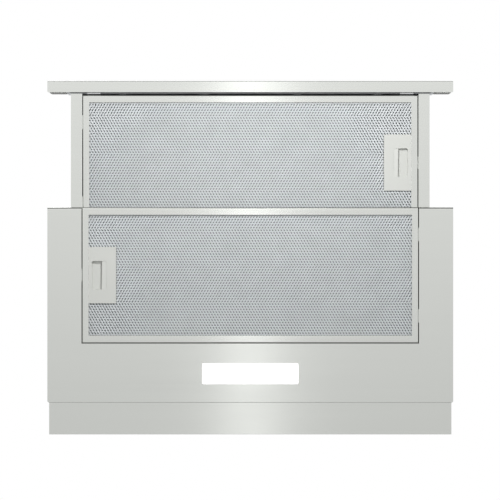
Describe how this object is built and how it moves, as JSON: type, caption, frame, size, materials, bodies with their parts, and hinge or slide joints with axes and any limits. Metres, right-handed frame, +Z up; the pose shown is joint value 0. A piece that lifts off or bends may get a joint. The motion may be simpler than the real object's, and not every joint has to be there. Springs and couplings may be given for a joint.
{
  "type": "telescopic range hood",
  "caption": "Telescopic range hood that hangs in a wall cabinet: pull-out front drawer with grease filter, fixed rear filter, light window, blower and duct collar.",
  "frame": {"origin": "centre of the open hood's outline on its underside", "axes": "+Z up into the cabinet, -Y towards the front trim, +X to the right as seen from the front"},
  "size_m": [0.598, 0.5208, 0.203],
  "materials": {
    "satin_steel": "satin, brushed from side to side",
    "filter_frame_steel": "satin",
    "filter_mesh": "bare, drawn mesh",
    "handle_grey": "fine satin, silver grey",
    "zinc_sheet": "zinc coated, dull",
    "zinc_slide": "zinc plated",
    "bright_zinc": "bright plated",
    "spring_steel": "bright",
    "black_plastic": "moulded, fine grain",
    "wheel_plastic": "moulded",
    "duct_plastic": "moulded, fine grain",
    "motor_grey": "dull lacquer",
    "shaft_steel": "ground",
    "capacitor_white": "moulded",
    "opal_lens": "opal, satin, lit from inside",
    "lamp_white": "moulded",
    "circuit_green": "lacquered board",
    "bezel_grey": "moulded",
    "button_grey": "moulded, satin"
  },
  "bodies": {
    "casing": {"base_plate": "satin_steel", "bracket_left": "zinc_sheet", "bracket_right": "zinc_sheet", "cable_gland": "black_plastic", "capacitor": "capacitor_white", "casing_back": "zinc_sheet", "casing_front": "zinc_sheet", "casing_screws": "bright_zinc", "casing_side_left": "zinc_sheet", "casing_side_right": "zinc_sheet", "casing_top": "zinc_sheet", "drawer_switch": "black_plastic", "duct_collar": "duct_plastic", "filler_nuts": "bright_zinc", "flap_pin": "spring_steel", "lamp_board": "circuit_green", "lamp_housing": "lamp_white", "lamp_lens": "opal_lens", "motor": "motor_grey", "motor_mount": "zinc_sheet", "outlet_adapter": "black_plastic", "scroll_left": "black_plastic", "scroll_right": "black_plastic", "slide_outer_left": "zinc_slide", "slide_outer_right": "zinc_slide", "terminal_box": "black_plastic", "terminal_cover": "black_plastic"},
    "drawer": {"drawer_side_left": "satin_steel", "drawer_side_right": "satin_steel", "drawer_front_bar": "zinc_sheet", "drawer_cover": "zinc_sheet", "slide_inner_left": "zinc_slide", "slide_inner_right": "zinc_slide", "front_trim": "satin_steel", "trim_clips": "bright_zinc", "trim_screws": "bright_zinc", "front_filter_frame": "filter_frame_steel", "front_filter_mesh": "filter_mesh", "front_filter_handle": "handle_grey", "front_latch_spring": "spring_steel", "switch_bezel": "bezel_grey", "switch_board": "circuit_green"},
    "front_latch": {"front_latch_slider": "handle_grey"},
    "rear_filter": {"rear_filter_frame": "filter_frame_steel", "rear_filter_mesh": "filter_mesh", "rear_filter_handle": "handle_grey", "rear_latch_spring": "spring_steel"},
    "rear_latch": {"rear_latch_slider": "handle_grey"},
    "cage_left": {"slide_cage_left": "zinc_slide"},
    "cage_right": {"slide_cage_right": "zinc_slide"},
    "blower_wheel": {"impeller": "wheel_plastic", "motor_shaft": "shaft_steel"},
    "flap_left": {"flap_left": "duct_plastic"},
    "flap_right": {"flap_right": "duct_plastic"},
    "rear_filler": {"rear_filler": "satin_steel"},
    "switch_lever": {"drawer_switch_lever": "spring_steel"},
    "button_speed_1": {"button_speed_1": "button_grey"},
    "button_speed_2": {"button_speed_2": "button_grey"},
    "button_speed_3": {"button_speed_3": "button_grey"},
    "button_light": {"button_light": "button_grey"}
  },
  "joints": [
    {"name": "drawer_slide", "type": "slide", "parent": "casing", "child": "drawer", "axis": [0, -1, 0], "range_m": [-0.168, 0]},
    {"name": "cage_left_slide", "type": "slide", "parent": "casing", "child": "cage_left", "axis": [0, -1, 0], "range_m": [-0.084, 0]},
    {"name": "cage_right_slide", "type": "slide", "parent": "casing", "child": "cage_right", "axis": [0, -1, 0], "range_m": [-0.084, 0]},
    {"name": "front_latch_slide", "type": "slide", "parent": "drawer", "child": "front_latch", "axis": [-1, 0, 0], "range_m": [0, 0.006], "stiffness_N_per_m": 250, "deforming": ["front_latch_spring"]},
    {"name": "rear_filter_drop", "type": "hinge", "parent": "casing", "child": "rear_filter", "pos_m": [0.248, 0.0257, 0.0003], "axis": [0, -1, 0], "range_deg": [0, 75]},
    {"name": "rear_latch_slide", "type": "slide", "parent": "rear_filter", "child": "rear_latch", "axis": [1, 0, 0], "range_m": [0, 0.006], "stiffness_N_per_m": 250, "deforming": ["rear_latch_spring"]},
    {"name": "impeller_spin", "type": "hinge", "parent": "casing", "child": "blower_wheel", "pos_m": [0, 0.062, 0.10203], "axis": [1, 0, 0], "continuous": true},
    {"name": "flap_left_turn", "type": "hinge", "parent": "casing", "child": "flap_left", "pos_m": [0, 0.10457, 0.188], "axis": [0, 1, 0], "range_deg": [0, 75]},
    {"name": "flap_right_turn", "type": "hinge", "parent": "casing", "child": "flap_right", "pos_m": [0, 0.10457, 0.188], "axis": [0, -1, 0], "range_deg": [0, 75]},
    {"name": "rear_filler_slide", "type": "slide", "parent": "casing", "child": "rear_filler", "axis": [0, 1, 0], "range_m": [-0.02, 0]},
    {"name": "switch_lever_turn", "type": "hinge", "parent": "casing", "child": "switch_lever", "pos_m": [0.2, 0.1968, 0.044], "axis": [1, 0, 0], "range_deg": [0, 5], "stiffness_Nm_per_rad": 0.02},
    {"name": "button_speed_1_press", "type": "slide", "parent": "drawer", "child": "button_speed_1", "axis": [0, 1, 0], "range_m": [0, 0.002], "stiffness_N_per_m": 400},
    {"name": "button_speed_2_press", "type": "slide", "parent": "drawer", "child": "button_speed_2", "axis": [0, 1, 0], "range_m": [0, 0.002], "stiffness_N_per_m": 400},
    {"name": "button_speed_3_press", "type": "slide", "parent": "drawer", "child": "button_speed_3", "axis": [0, 1, 0], "range_m": [0, 0.002], "stiffness_N_per_m": 400},
    {"name": "button_light_press", "type": "slide", "parent": "drawer", "child": "button_light", "axis": [0, 1, 0], "range_m": [0, 0.002], "stiffness_N_per_m": 400}
  ],
  "couplings": [
    {"joint": "cage_left_slide", "follows": "drawer_slide", "ratio": 0.5},
    {"joint": "cage_right_slide", "follows": "drawer_slide", "ratio": 0.5}
  ]
}
